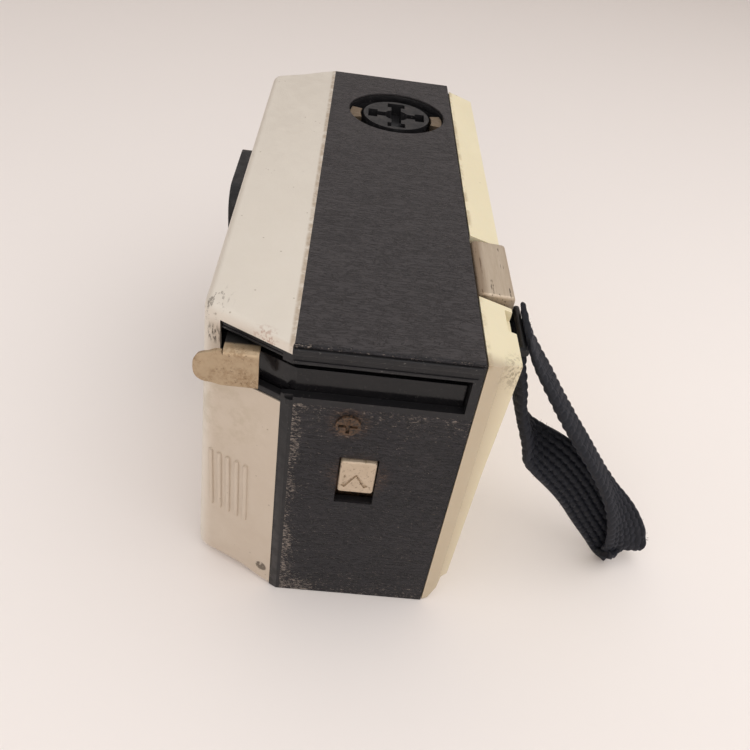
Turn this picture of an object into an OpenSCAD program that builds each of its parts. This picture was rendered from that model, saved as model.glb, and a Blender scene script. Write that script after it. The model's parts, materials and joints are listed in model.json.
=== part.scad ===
// Snapshot camera for 126-size film cartridges, with a turning flash socket, thumb lever and wrist strap.
// Millimetres. Origin at the centre of the base of the leathered band, +Z up, lens facing -Y,
// +X towards the end that carries the thumb lever and the door latch.

/* [Body] */
// Length of the camera, end to end
body_l = 108; // [106:0.5:112]
// Height of the camera
body_h = 60; // [60:0.5:62]
// Depth of the leathered band
band_d = 28; // [28:0.5:30]
// Wall thickness of the plastic frame
wall = 1.6; // [1.4:0.1:2]
// Thickness of the leatherette
skin_t = 0.5; // [0.4:0.1:0.6]

/* [Front shell] */
// Distance from the band to the front face, at the top
front_top = 14; // [13:0.5:15]
// Distance from the band to the front face, at the base
front_base = 16; // [15:0.5:17]
// How far each front corner is cut back along the length
chamfer_x = 7.6; // [7:0.2:8]
// Sheet thickness of the front shell
shell_t = 1.2; // [1:0.1:1.4]

/* [Door] */
// Depth of the back door
door_d = 6; // [5.6:0.2:6.4]
// How far the hinge axis stands in from the far end
hinge_in = 1.4; // [1.2:0.1:1.6]
// Radius of the hinge knuckles
knuckle_r = 1.5; // [1.4:0.1:1.6]
// Radius of the hinge pin
hinge_pin_r = 0.8; // [0.6:0.1:0.9]

/* [Lens and shutter] */
// Place of the lens axis along the length
lens_x = -10.3; // [-12:0.1:-9]
// Height of the lens axis
lens_z = 29; // [28:0.5:30]
// Outer radius of the lens barrel
barrel_r = 7.5; // [7:0.1:8]
// Side of the square picture gate
gate = 28; // [27:0.5:28]

/* [Flash socket] */
// Place of the socket along the length
socket_x = -33.2; // [-34:0.1:-32]
// Place of the socket across the depth
socket_y = 1.2; // [0:0.1:2]
// Radius of the socket opening
socket_r = 10.8; // [10.6:0.1:11]
// Radius of the turning disc
rotor_r = 7.5; // [7.2:0.1:7.8]

/* [Winding] */
// Module of the lever rack and its pinion
rack_m = 0.6667; // [0.6667]
// Teeth on the wind pinion
pinion_teeth = 12; // [12]
// Teeth that the lever rack would have as a full ring
rack_teeth = 123; // [123]
// Teeth on the drive gear
drive_teeth = 14; // [14]
// Teeth on the take-up gear
take_teeth = 20; // [20]

/* [Strap] */
// Width of the woven band
strap_w = 10; // [9.5:0.5:10.5]
// Thickness of the woven band
strap_t = 1.6; // [1.4:0.1:1.8]

/* [Hidden] */
$fn = 64;
hx = body_l / 2;
hy = band_d / 2;
eps = 0.01;
run = 0.05; // radial running clearance of shafts and pins

// film chamber
cham_x0 = -51;
cham_x1 = 36;
cham_z0 = 8.5;
cham_z1 = 49.5;
pocket_x0 = -28; // inner side of the supply pocket
pocket_x1 = 8;   // inner side of the take-up pocket
film_y = 6;      // film plane
pocket_y = -13;  // front of both spool pockets

// compartments
near_x0 = 37.6;
near_x1 = hx - wall;
roof_z = body_h - skin_t - wall;
upper_z = 51;
under_z = 7;

// front shell
face_top = -hy - front_top;
face_base = -hy - front_base;
front_x = hx - chamfer_x;
seam_y = -hy - 1.4; // the black strip between shell and leather ends here
function face_y(z) = face_base + (face_top - face_base) * z / body_h;
function chamfer_at(y) = hx - chamfer_x * (-hy - y) / front_top;

// lens panel
panel_w = 22.8;
panel_z0 = 10;
panel_z1 = 53.6;
panel_y = -31.5;
barrel_y = -32.6;
plate_y = -24.4; // front of the shutter plate
plate_t = 1;
blade_t = 0.4;
blade_px = lens_x + 9;
blade_pz = lens_z - 9;

// viewfinder
view_x0 = 19.5;
view_x1 = 35;
view_z0 = 51.2;
view_z1 = 57.8;
view_y0 = -26.4;

// lever
lever_cx = 5;
lever_cy = 1;
lever_x = 52.5; // outer face of the thumb plate
lever_z0 = 49.5;
lever_z1 = 56.2;
lever_y0 = -28.6;
lever_y1 = -18.9;
sheet_t = 0.6;
rack_r = rack_m * rack_teeth / 2;
pinion_r = rack_m * pinion_teeth / 2;
mesh_a = -13; // direction from the lever axis to the wind shaft
wind_x = lever_cx + (rack_r - pinion_r) * cos(mesh_a);
wind_y = lever_cy + (rack_r - pinion_r) * sin(mesh_a);
take_x = 24;
take_y = 0;
gear_gap = norm([wind_x - take_x, wind_y - take_y]);
gear_m = 2 * gear_gap / (drive_teeth + take_teeth);
gear_a = atan2(take_y - wind_y, take_x - wind_x);
shaft_r = 1.5;
rack_z = 54;
rack_edge = 44;
rack_t = 1.6;
gear_z = 3;
gear_t = 2.2;

// latch
button_y0 = -5;
button_y1 = 0.9;
button_z0 = 30.3;
button_z1 = 37.6;
slot_z0 = 26.9;

// release
release_x0 = -41;
release_x1 = -34;

// door
door_y0 = hy + 0.2;
door_y1 = hy + door_d;
hinge_x = -hx + hinge_in;
hinge_y = hy + 1.8;
ear_z1 = 8;
ear_z2 = 50;
cut_x0 = 17.8;
cut_x1 = 36.6;
cut_z0 = 49.4;
bezel_x0 = 19;
bezel_x1 = 35.5;
bezel_y1 = hy + 6.6;
bezel_z1 = body_h - 0.1;
window_x0 = -21;
window_x1 = 1;
window_z0 = 22;
window_z1 = 36;

// strap: middle of each run, from the lug to the tip, and the side that the band turns to
lug_y = 22;
lug_z = 55.2;
upper_run = [
    [38, 22.4, 57.4], [38, 23.3, 55], [38, 25.5, 51], [38, 29.1, 45.8], [38, 33.5, 39.5], [38.1, 37.6, 34],
    [38.3, 41.7, 28.8], [38.6, 46.1, 22.8], [39, 49.9, 17.2], [39.4, 53.4, 11.9], [39.8, 55.7, 7.4], [40.1, 56.3, 4.6]
];
upper_side = [
    [1, 0, 0], [1, 0, 0], [1, 0, 0], [1, 0, 0], [1, 0, 0], [1, 0, 0], [1, 0, 0], [1, -0.05, 0],
    [0.95, -0.25, -0.05], [0.75, -0.6, -0.2], [0.45, -0.8, -0.3], [0.2, -0.9, -0.34]
];
tip_run = [[39.9, 56, 3.9], [39.2, 56, 3.5], [38.4, 55.7, 3.7]];
lower_run = [
    [38, 22, 53.2], [38, 22.8, 50], [38, 24.1, 46.1], [38, 25.3, 41.1], [38, 27, 36.5], [38, 28.9, 32.5],
    [38, 31.4, 29.2], [38, 37, 25], [38, 42.6, 19.4], [38, 47.8, 12.8], [38, 52, 7.6], [38.1, 54.5, 4.4]
];
lower_side = [
    [1, 0, 0], [1, 0, 0], [1, 0, 0], [1, 0, 0], [1, 0, 0], [1, -0.1, 0], [0.85, -0.45, -0.2],
    [0.5, -0.75, -0.4], [0.35, -0.85, -0.38], [0.27, -0.88, -0.36], [0.22, -0.9, -0.34], [0.2, -0.9, -0.34]
];

// ---------- shared shapes ----------
module box(a, b) {
    translate(a) cube([b[0] - a[0], b[1] - a[1], b[2] - a[2]]);
}

module rod_y(x, z, y0, y1, r) {
    translate([x, y1, z]) rotate([90, 0, 0]) cylinder(h = y1 - y0, r = r);
}

module rod_x(y, z, x0, x1, r) {
    translate([x0, y, z]) rotate([0, 90, 0]) cylinder(h = x1 - x0, r = r);
}

module rod_z(x, y, z0, z1, r) {
    translate([x, y, z0]) cylinder(h = z1 - z0, r = r);
}

// rounded rectangle standing in the XZ plane, from y0 to y1
module plate_xz(x0, x1, z0, z1, y0, y1, r) {
    difference() {
        box([x0, y0, z0], [x1, y1, z1]);
        for (c = [[x0, z0, 0, 0], [x1, z0, 1, 0], [x0, z1, 0, 1], [x1, z1, 1, 1]])
            difference() {
                box([c[2] ? c[0] - r : c[0] - 1, y0 - 1, c[3] ? c[1] - r : c[1] - 1],
                    [c[2] ? c[0] + 1 : c[0] + r, y1 + 1, c[3] ? c[1] + 1 : c[1] + r]);
                rod_y(c[0] + (c[2] ? -r : r), c[1] + (c[3] ? -r : r), y0 - 2, y1 + 2, r);
            }
    }
}

// straight-sided solid between one outline at z0 and another with as many points at z1
module loft_z(a, b, z0, z1) {
    n = len(a);
    polyhedron(
        points = [for (p = a) [p[0], p[1], z0], for (p = b) [p[0], p[1], z1]],
        faces = [
            [for (i = [0 : n - 1]) i],
            for (i = [0 : n - 1]) [i, n + i, n + (i + 1) % n, (i + 1) % n],
            [for (i = [n - 1 : -1 : 0]) n + i]
        ]
    );
}

function square_of(h) = [[-h, -h], [h, -h], [h, h], [-h, h]];

// plan of the front shell: yf is the front face, xf its half width, and the corner is rounded
function corner(a, b, c, r, n) =
    let (
        u = (a - b) / norm(a - b), v = (c - b) / norm(c - b),
        half = acos(u * v) / 2, d = r / tan(half),
        p = b + u * d, q = b + v * d
    ) [for (i = [0 : n]) let (t = i / n) (1 - t) * (1 - t) * p + 2 * t * (1 - t) * b + t * t * q];
function shell_plan(yf, xf, xe, yb) = concat(
    [[-xe, yb]], corner([-xe, yb], [-xf, yf], [xf, yf], 3, 5),
    corner([-xf, yf], [xf, yf], [xe, yb], 3, 5), [[xe, yb]]
);

module coil(x, y, z0, z1, r, wire, turns, sides = 6, per = 14) {
    n = turns * per;
    pts = [for (i = [0 : n]) let (a = 360 * i / per, z = z0 + wire + (z1 - z0 - 2 * wire) * i / n)
        for (j = [0 : sides - 1]) let (b = 360 * j / sides)
            [(r + wire * cos(b)) * cos(a), (r + wire * cos(b)) * sin(a), z + wire * sin(b)]];
    translate([x, y, 0]) polyhedron(
        points = pts,
        faces = [
            [for (j = [0 : sides - 1]) j],
            for (i = [0 : n - 1]) for (j = [0 : sides - 1]) let (k = (j + 1) % sides)
                [i * sides + j, (i + 1) * sides + j, (i + 1) * sides + k, i * sides + k],
            [for (j = [sides - 1 : -1 : 0]) n * sides + j]
        ]
    );
}

// flat band swept along points, its width lying along the side directions
module band(run_pts, side, w, t) {
    n = len(run_pts);
    function along(i) = let (d = run_pts[min(i + 1, n - 1)] - run_pts[max(i - 1, 0)]) d / norm(d);
    function across(i) = let (t0 = along(i), s = side[i] - (side[i] * t0) * t0) s / norm(s);
    pts = [for (i = [0 : n - 1]) let (s = across(i), u = cross(along(i), s))
        for (c = [[-1, -1], [1, -1], [1, 1], [-1, 1]]) run_pts[i] + s * c[0] * w / 2 + u * c[1] * t / 2];
    polyhedron(
        points = pts,
        faces = [
            [0, 1, 2], [0, 2, 3],
            for (i = [0 : n - 2]) for (j = [0 : 3]) let (a = i * 4 + j, b = i * 4 + (j + 1) % 4)
                for (f = [[a, a + 4, b + 4], [a, b + 4, b]]) f,
            let (e = (n - 1) * 4) each [[e, e + 2, e + 1], [e, e + 3, e + 2]]
        ]
    );
}

// involute teeth: half the angle that a tooth spans at radius r
function inv(a) = tan(a) * 180 / PI - a;
function half_tooth(r, teeth, m, slack) = let (rp = m * teeth / 2, rb = rp * cos(20))
    90 / teeth - slack / rp * 90 / PI + inv(20) - inv(acos(min(1, rb / max(r, rb))));
function gear_outline(teeth, m, slack, add = 0.8, ded = 1) =
    let (rp = m * teeth / 2, rr = rp - ded * m, r0 = max(rr + 0.02, rp * cos(20)), ra = rp + add * m,
        up = [for (i = [0 : 3]) r0 + (ra - r0) * i / 3])
    [for (k = [0 : teeth - 1]) let (a = 360 * k / teeth)
        for (q = concat(
            [[rr, -half_tooth(r0, teeth, m, slack)]],
            [for (r = up) [r, -half_tooth(r, teeth, m, slack)]],
            [for (i = [3 : -1 : 0]) [up[i], half_tooth(up[i], teeth, m, slack)]],
            [[rr, half_tooth(r0, teeth, m, slack)]]
        )) q[0] * [cos(a + q[1]), sin(a + q[1])]];

function sector(r0, r1, a0, a1, n) = concat(
    [for (i = [0 : n]) let (a = a0 + (a1 - a0) * i / n) r1 * [cos(a), sin(a)]],
    [for (i = [n : -1 : 0]) let (a = a0 + (a1 - a0) * i / n) r0 * [cos(a), sin(a)]]
);

// space behind the leaning front face, used to seat parts on it
module behind_face() {
    a = atan2(face_top - face_base, body_h);
    translate([0, face_base, 0]) rotate([-a, 0, 0]) box([-60, 0, -10], [60, 40, 80]);
}

// ---------- body ----------
module end_strip(s) {
    linear_extrude(58.2)
        polygon([[s * hx, -hy], [s * chamfer_at(seam_y), seam_y], [s * 51.9, seam_y], [s * 51.9, -hy]]);
}

module body_frame() {
    color([0.09, 0.09, 0.1])
    difference() {
        union() {
            box([-hx + skin_t, -hy, 0], [hx, hy, body_h - skin_t]);
            for (s = [-1, 1]) end_strip(s);
            // hinge ears
            for (z = [[0.4, ear_z1], [ear_z2, 58]]) {
                box([hinge_x - 1.4, hy - eps, z[0]], [hinge_x + 1.4, hinge_y, z[1]]);
                rod_z(hinge_x, hinge_y, z[0], z[1], knuckle_r);
            }
        }
        // recess for the near leather
        box([hx - skin_t, -hy + 0.6, -1], [hx + 1, hy + 1, 48.8]);
        // spool pockets, film channel and gate
        box([cham_x0, pocket_y, cham_z0], [pocket_x0, hy + 1, cham_z1]);
        box([pocket_x1, pocket_y, cham_z0], [cham_x1, hy + 1, cham_z1]);
        box([cham_x0, film_y, cham_z0], [cham_x1, hy + 1, cham_z1]);
        box([lens_x - gate / 2, 3, lens_z - gate / 2], [lens_x + gate / 2, 8, lens_z + gate / 2]);
        // room for the light tunnel
        box([-26.4, -hy - 1, cham_z0], [6.4, 4.5, cham_z1]);
        // upper, lower and near compartments, all open to the front
        box([-hx + 2, -hy - 3, upper_z], [cham_x1, hy - wall, roof_z]);
        box([pocket_x1, -hy - 3, wall], [near_x1, hy - wall, under_z]);
        box([near_x0, -hy - 3, wall], [near_x1, hy - wall, roof_z]);
        box([cham_x1 - 1, -hy - 3, 52], [near_x0 + 1, hy - wall, roof_z]);
        // viewfinder passage
        box([view_x0, 0, view_z0], [view_x1, hy + 1, view_z1]);
        // lever slot in the end wall
        box([near_x1 - 1, -hy + 0.6, 50], [hx + 1, hy - 1.4, 56.5]);
        box([near_x1 - 1, -17, 50], [hx + 1, -hy + 1, 56.5]);
        // relief for the foot of the thumb plate as it swings past
        box([hx - 0.6, -14.8, 49.3], [hx + 0.2, -hy + 0.5, 50.1]);
        // latch slot in the end wall and catch slot in the back wall
        box([near_x1 - 1, button_y0 - 0.3, slot_z0], [hx + 1, button_y1 + 0.3, button_z1 + 0.3]);
        box([46, hy - wall - 1, 31], [51, hy + 1, 39]);
        // flash socket
        rod_z(socket_x, socket_y, roof_z - 1, body_h, socket_r);
        rod_z(socket_x, socket_y, 52, roof_z, socket_r + 1);
        // bearings: wind shaft in the roof, take-up hub in the chamber floor
        rod_z(wind_x, wind_y, roof_z - 1, 59, shaft_r + run);
        rod_z(take_x, take_y, under_z - 1, cham_z0 + 1, 3 + run);
        // bearing holes in the base
        rod_z(wind_x, wind_y, 0.9, 4, shaft_r + run);
        rod_z(take_x, take_y, 0.9, 4, shaft_r + run);
        // hinge pin, screws
        rod_z(hinge_x, hinge_y, -1, 60, hinge_pin_r);
        rod_x(-4.7, 45.5, 50, hx + 1, 1);
        rod_x(0, 30, -hx - 1, -51.5, 1);
        for (p = [[-46, -9], [-46, 9], [10, 10]]) {
            rod_z(p[0], p[1], -1, 5.5, 1);
            rod_z(p[0], p[1], -1, 0.9, 2);
        }
    }
    // base bosses round the two lower bearings
    color([0.09, 0.09, 0.1])
    for (p = [[wind_x, wind_y], [take_x, take_y]])
        difference() {
            rod_z(p[0], p[1], wall, 2.8, 3);
            rod_z(p[0], p[1], wall - 1, 4, shaft_r + run);
        }
}

module front_shell() {
    t = shell_t;
    color([0.82, 0.8, 0.76])
    difference() {
        union() {
            loft_z(shell_plan(face_base, front_x, hx, -hy), shell_plan(face_top, front_x, hx, -hy), 0, body_h);
            // thumb ribs on the near chamfer
            for (i = [0 : 4]) let (y = -27.1 + i * 1.6, deep = -hy - face_y(22.8))
                translate([hx - chamfer_x * (-hy - y) / deep, y, 15.6]) rotate([0, 0, -atan2(chamfer_x, deep)])
                    translate([-1, -0.45, 0]) cube([1.35, 0.9, 14.4]);
        }
        loft_z(shell_plan(face_base + t, front_x - 0.6, hx - 1.4, -hy + 1),
            shell_plan(face_top + t, front_x - 0.6, hx - 1.4, -hy + 1), t, body_h - t);
        // the black strips of the frame
        for (s = [-1, 1]) box([s > 0 ? 51.9 : -60, seam_y, -1], [s > 0 ? 60 : -51.9, 0, 58.2]);
        rod_y(lens_x, lens_z, -40, -20, barrel_r);
        box([21, -40, 52], [34, -20, 57]);
        box([release_x0 - 0.3, -40, 20.4], [release_x1 + 0.3, -20, 40.4]);
        // opening for the lever
        box([44, -25.3, 48], [60, -12, 58.2]);
    }
}

module top_covering() {
    color([0.13, 0.13, 0.14])
    difference() {
        box([-hx, -hy, body_h - skin_t], [hx, hy, body_h]);
        rod_z(socket_x, socket_y, body_h - 3, body_h + 1, socket_r);
    }
}

module near_end_covering() {
    color([0.13, 0.13, 0.14])
    difference() {
        box([hx - skin_t, -hy + 0.6, 0], [hx, hy, 48.8]);
        box([hx - 2, button_y0 - 0.3, slot_z0], [hx + 1, button_y1 + 0.3, button_z1 + 0.3]);
        rod_x(-4.7, 45.5, hx - 2, hx + 1, 1);
    }
}

module far_end_covering() {
    color([0.13, 0.13, 0.14])
    difference() {
        box([-hx, -hy, 0], [-hx + skin_t, hy, body_h - skin_t]);
        rod_x(0, 30, -hx - 1, -hx + 2, 1);
    }
}

// ---------- lens and shutter ----------
module lens_panel() {
    color([0.07, 0.07, 0.07])
    difference() {
        plate_xz(lens_x - panel_w / 2, lens_x + panel_w / 2, panel_z0, panel_z1, panel_y, -27, 4.5);
        behind_face();
        rod_y(lens_x, lens_z, -40, -20, barrel_r);
        // sunk ring round the barrel
        difference() {
            rod_y(lens_x, lens_z, panel_y - 1, panel_y + 0.8, barrel_r + 2);
            rod_y(lens_x, lens_z, panel_y - 2, panel_y + 1, barrel_r);
        }
    }
}

module lens_barrel() {
    color([0.1, 0.1, 0.1])
    difference() {
        rod_y(lens_x, lens_z, barrel_y, plate_y, barrel_r);
        rod_y(lens_x, lens_z, barrel_y - 1, -28.8, 5.8);
        rod_y(lens_x, lens_z, -30, -27.6, 3.4);
        rod_y(lens_x, lens_z, -27.6, plate_y + 1, 4.4);
    }
}

module lens_ring() {
    color([0.7, 0.7, 0.7])
    difference() {
        rod_y(lens_x, lens_z, barrel_y, -31.2, 5.8);
        rod_y(lens_x, lens_z, barrel_y - 1, -30, 4.8);
    }
}

// biconvex glass: both faces are arcs of radius ball, turned about the lens axis
module glass(r, y0, y1, ball) {
    bulge = [for (i = [0 : 6]) let (d = r * i / 6) [d, ball - sqrt(ball * ball - d * d)]];
    color([0.7, 0.8, 0.9, 0.4])
    translate([lens_x, y1, lens_z]) rotate([90, 0, 0]) rotate_extrude() polygon(concat(
        [for (p = bulge) [p[0], p[1]]], [for (i = [6 : -1 : 0]) [bulge[i][0], y1 - y0 - bulge[i][1]]]
    ));
}

module front_element() {
    glass(5.75, -31.2, -28.8, 16);
}

module rear_element() {
    glass(4.35, -27.6, -25.6, 14);
}

module shutter_plate() {
    color([0.2, 0.2, 0.22])
    difference() {
        box([-25, plate_y, 14], [5, plate_y + plate_t, 44]);
        rod_y(lens_x, lens_z, -30, -20, 2.6);
        rod_y(blade_px, blade_pz, -30, -20, 1);
    }
}

module shutter_blade() {
    y0 = plate_y + plate_t + 0.4;
    color([0.3, 0.3, 0.32])
    difference() {
        union() {
            rod_y(lens_x, lens_z, y0, y0 + blade_t, 5.4);
            rod_y(blade_px, blade_pz, y0, y0 + blade_t, 2.6);
            translate([blade_px, y0, blade_pz]) rotate([0, -135, 0])
                translate([0, 0, -1.8]) cube([12.7, blade_t, 3.6]);
            // tail that the release arm strikes
            translate([blade_px, y0, blade_pz]) rotate([0, 20, 0])
                translate([0, 0, -1]) cube([4.6, blade_t, 2]);
        }
        rod_y(blade_px, blade_pz, y0 - 1, y0 + 2, 1 + run);
    }
}

module blade_pin() {
    color([0.75, 0.65, 0.4]) rod_y(blade_px, blade_pz, plate_y, -21.9, 1);
}

module blade_spring() {
    color([0.75, 0.75, 0.78])
    difference() {
        rod_y(blade_px, blade_pz, -22.5, -22, 2);
        rod_y(blade_px, blade_pz, -24, -21, 1.1);
    }
}

module light_tunnel() {
    y0 = -21.4;
    module frustum(h0, h1, a, b) {
        translate([lens_x, a, lens_z]) rotate([-90, 0, 0])
            loft_z(square_of(h0), square_of(h1), 0, b - a);
    }
    color([0.08, 0.08, 0.08])
    difference() {
        union() {
            frustum(6, 15, y0, 4.5);
            box([-25, y0, 14], [5, y0 + 1, 44]);
            for (x = [-23.2, 3.2]) for (z = [15.8, 42.2]) rod_y(x, z, plate_y + plate_t, y0 + 0.5, 1.2);
        }
        frustum(5 - 0.35, 14 + 0.35, y0 - 1, 4.5 + 1);
    }
}

// ---------- release ----------
module release_button() {
    color([0.12, 0.12, 0.12])
    union() {
        plate_xz(release_x0, release_x1, 24, 40, -31.6, -27, 1.5);
        box([release_x0 - 2, -27, 18], [release_x1 + 2, -26, 42]);
        for (i = [0 : 3]) box([release_x0 + 1.2, -31.9, 35.6 + i], [release_x1 - 1.2, -31.5, 36.1 + i]);
    }
}

module release_arm() {
    color([0.75, 0.75, 0.78])
    union() {
        box([-36, -26, 20], [-33, -25.4, 34]);
        box([-36, -26, 30], [-19, -25.4, 32.6]);
    }
}

module release_spring() {
    color([0.75, 0.75, 0.78]) coil(-39, -23.8, 6, 17.9, 1.9, 0.25, 7);
}

// ---------- viewfinder ----------
module viewfinder_tube() {
    color([0.1, 0.1, 0.1])
    difference() {
        box([view_x0, view_y0, view_z0], [view_x1, hy, view_z1]);
        box([view_x0 + 0.8, view_y0 - 1, view_z0 + 0.8], [view_x1 - 0.8, hy + 1, view_z1 - 0.8]);
    }
}

// rectangular pane with one hollow ground face
module pane(y0, y1, dish_y, ball) {
    color([0.75, 0.85, 0.9, 0.4])
    difference() {
        box([view_x0 + 0.8, y0, view_z0 + 0.8], [view_x1 - 0.8, y1, view_z1 - 0.8]);
        translate([(view_x0 + view_x1) / 2, dish_y, (view_z0 + view_z1) / 2]) sphere(r = ball, $fn = 240);
    }
}

module viewfinder_objective() {
    pane(view_y0 + 0.4, view_y0 + 2.4, view_y0 + 31.2, 30);
}

module eyepiece_lens() {
    pane(hy - 4, hy - 2, hy - 42.8, 40);
}

module eyepiece_bezel() {
    t = sheet_t;
    color([0.7, 0.66, 0.6])
    difference() {
        box([bezel_x0, hy, 50], [bezel_x1, bezel_y1, bezel_z1]);
        box([bezel_x0 + t, hy - 1, 50 - 1], [bezel_x1 - t, bezel_y1 - t, bezel_z1 - t]);
        box([bezel_x0 + 2, hy, 51.8], [bezel_x1 - 2, hy + 9, 57.4]);
    }
}

// ---------- flash socket ----------
module at_socket() {
    translate([socket_x, socket_y, 0]) children();
}

module flash_socket_well() {
    color([0.08, 0.08, 0.08])
    at_socket() difference() {
        translate([0, 0, 52]) cylinder(h = roof_z - 52, r = socket_r + 1);
        translate([0, 0, 53.2]) cylinder(h = 8, r = socket_r);
        translate([0, 0, 50]) cylinder(h = 8, r = 2.2 + run);
    }
}

module flash_rotor() {
    color([0.06, 0.06, 0.06])
    at_socket() difference() {
        union() {
            translate([0, 0, 54]) cylinder(h = 5.3, r = rotor_r);
            translate([0, 0, 51.3]) cylinder(h = 3, r = 2.2);
        }
        // four-lobed key hole
        translate([0, 0, 56.6]) cylinder(h = 4, r = 2.7);
        for (a = [0 : 90 : 270]) rotate([0, 0, a]) {
            translate([0, -1.1, 56.6]) cube([4.6, 2.2, 4]);
            translate([4.3, -2, 56.6]) cube([2.1, 4, 4]);
        }
    }
}

module flash_contacts() {
    color([0.8, 0.74, 0.6])
    at_socket() for (a = [90, 270]) rotate([0, 0, a])
        translate([0, 0, 53.2]) linear_extrude(5.8) polygon(sector(8.1, 10.6, -16, 16, 8));
}

module rotor_detent_spring() {
    color([0.75, 0.75, 0.78])
    at_socket() rotate([0, 0, 200])
        translate([0, 0, 53.2]) linear_extrude(2.4) polygon(sector(8, 8.6, -24, 24, 8));
}

// ---------- battery ----------
cell_r = 5.25;
cell_l = 44.5;
cell_y = -21.2;
cell_xs = [14.6, 25.6];

module battery_holder() {
    color([0.1, 0.1, 0.1])
    union() {
        box([8.6, -26.8, 2], [31.6, -14.4, 3.2]);
        box([8.6, -26.4, 48.6], [31.6, -14.4, 49.8]);
        box([8.6, -15.4, 2], [31.6, -14.4, 49.8]);
    }
}

module battery_cells() {
    color([0.2, 0.3, 0.5])
    for (x = cell_xs) {
        rod_z(x, cell_y, 3.6, 3.6 + cell_l - 1, cell_r);
        rod_z(x, cell_y, 3.6 + cell_l - 1, 3.6 + cell_l, 1.9);
    }
}

module battery_contacts() {
    color([0.8, 0.74, 0.6]) {
        box([10.6, -24, 3.2], [29.6, -18.4, 3.6]);
        for (x = cell_xs) box([x - 3, -24, 48.1], [x + 3, -18.4, 48.6]);
    }
}

// ---------- lever and winding ----------
// plan of the guide: it follows the chamfer, then turns along the end wall
module lever_guide() {
    inset = 1.7;
    deep = 2.9;
    function off(y, d) = [chamfer_at(y) - d * 1.138, y];
    plan = [
        off(-25.6, inset), off(-hy - 0.3, inset), [near_x1, -13.2], [near_x1, hy - wall],
        [near_x1 - 1.2, hy - wall], [near_x1 - 1.2, -13.6], off(-hy - 1, deep), off(-25.6, deep)
    ];
    color([0.05, 0.05, 0.05]) {
        translate([0, 0, 47.4]) linear_extrude(54.4 - 47.4) polygon(plan);
        translate([0, 0, 56.6]) linear_extrude(roof_z - 56.6) polygon(plan);
    }
}

// shelf that carries the rack, with a round rim the rack runs along
module carrier_shelf() {
    rim_in = rack_edge + run;
    color([0.72, 0.62, 0.35])
    difference() {
        intersection() {
            translate([lever_cx, lever_cy, 52.2]) difference() {
                cylinder(h = 3, r = rim_in + 1.2);
                translate([0, 0, 1.5]) cylinder(h = 3, r = rim_in);
                translate([0, 0, -1]) cylinder(h = 3, r = 34);
            }
            translate([lever_cx, lever_cy, 50]) linear_extrude(6) polygon(sector(30, 52, -37, 13, 8));
            box([near_x0, -30, 50], [60, 20, 56]);
        }
        rod_z(wind_x, wind_y, 50, 56, shaft_r + 0.2);
    }
}

module advance_lever() {
    color([0.74, 0.66, 0.54])
    union() {
        // thumb plate with a rounded tip
        difference() {
            box([lever_x - sheet_t, lever_y0, lever_z0], [lever_x, lever_y1, lever_z1]);
            for (s = [0, 1]) difference() {
                box([50, lever_y0 - 1, s ? lever_z1 - 3 : lever_z0 - 1],
                    [54, lever_y0 + 3, s ? lever_z1 + 1 : lever_z0 + 3]);
                rod_x(lever_y0 + 3, s ? lever_z1 - 3 : lever_z0 + 3, 49, 55, 3);
            }
        }
        // flange folded in through the slot, and its arm to the rack
        box([47, -24.3, lever_z1 - sheet_t], [lever_x, lever_y1, lever_z1]);
        translate([lever_cx, lever_cy, lever_z1 - sheet_t]) linear_extrude(sheet_t)
            polygon(sector(42.6, 49.8, -30, -25.4, 3));
    }
}

module lever_rack() {
    color([0.72, 0.62, 0.35])
    translate([lever_cx, lever_cy, rack_z]) intersection() {
        cylinder(h = rack_t, r = rack_edge);
        linear_extrude(rack_t) difference() {
            polygon(sector(rack_r - 0.8 * rack_m, 47, -38.2, -11, 10));
            for (k = [-9 : 1]) rotate(mesh_a + k * 360 / rack_teeth)
                polygon([
                    for (i = [0 : 4]) let (r = rack_r - 1.4 * rack_m + 2.4 * rack_m * i / 4,
                        h = half_tooth(r, rack_teeth, rack_m, -0.12)) r * [cos(-h), sin(-h)],
                    for (i = [4 : -1 : 0]) let (r = rack_r - 1.4 * rack_m + 2.4 * rack_m * i / 4,
                        h = half_tooth(r, rack_teeth, rack_m, -0.12)) r * [cos(h), sin(h)]
                ]);
        }
    }
}

module wind_shaft() {
    color([0.75, 0.75, 0.78]) rod_z(wind_x, wind_y, 1, 58.9, shaft_r);
}

module wind_pinion() {
    color([0.72, 0.62, 0.35])
    translate([wind_x, wind_y, rack_z]) rotate([0, 0, mesh_a]) difference() {
        linear_extrude(rack_t) polygon(gear_outline(pinion_teeth, rack_m, 0.12));
        translate([0, 0, -1]) cylinder(h = 4, r = shaft_r);
    }
}

module drive_gear() {
    color([0.85, 0.83, 0.75])
    translate([wind_x, wind_y, gear_z]) rotate([0, 0, gear_a]) difference() {
        linear_extrude(gear_t) polygon(gear_outline(drive_teeth, gear_m, 0.15));
        translate([0, 0, -1]) cylinder(h = 5, r = shaft_r);
    }
}

module take_up_gear() {
    color([0.85, 0.83, 0.75])
    translate([take_x, take_y, 0]) union() {
        translate([0, 0, gear_z]) rotate([0, 0, gear_a + 180 + 180 / take_teeth])
            linear_extrude(gear_t) polygon(gear_outline(take_teeth, gear_m, 0.15));
        translate([0, 0, 1]) cylinder(h = 2.2, r = shaft_r);
        translate([0, 0, 5]) cylinder(h = 3.9, r = 3);
        // prongs that turn the spool of the cartridge
        for (a = [0, 120, 240]) rotate([0, 0, a]) translate([0.6, -0.6, 8.8]) cube([2, 1.2, 2.2]);
        translate([0, 0, 8.8]) cylinder(h = 2.2, r = 1);
    }
}

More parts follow.
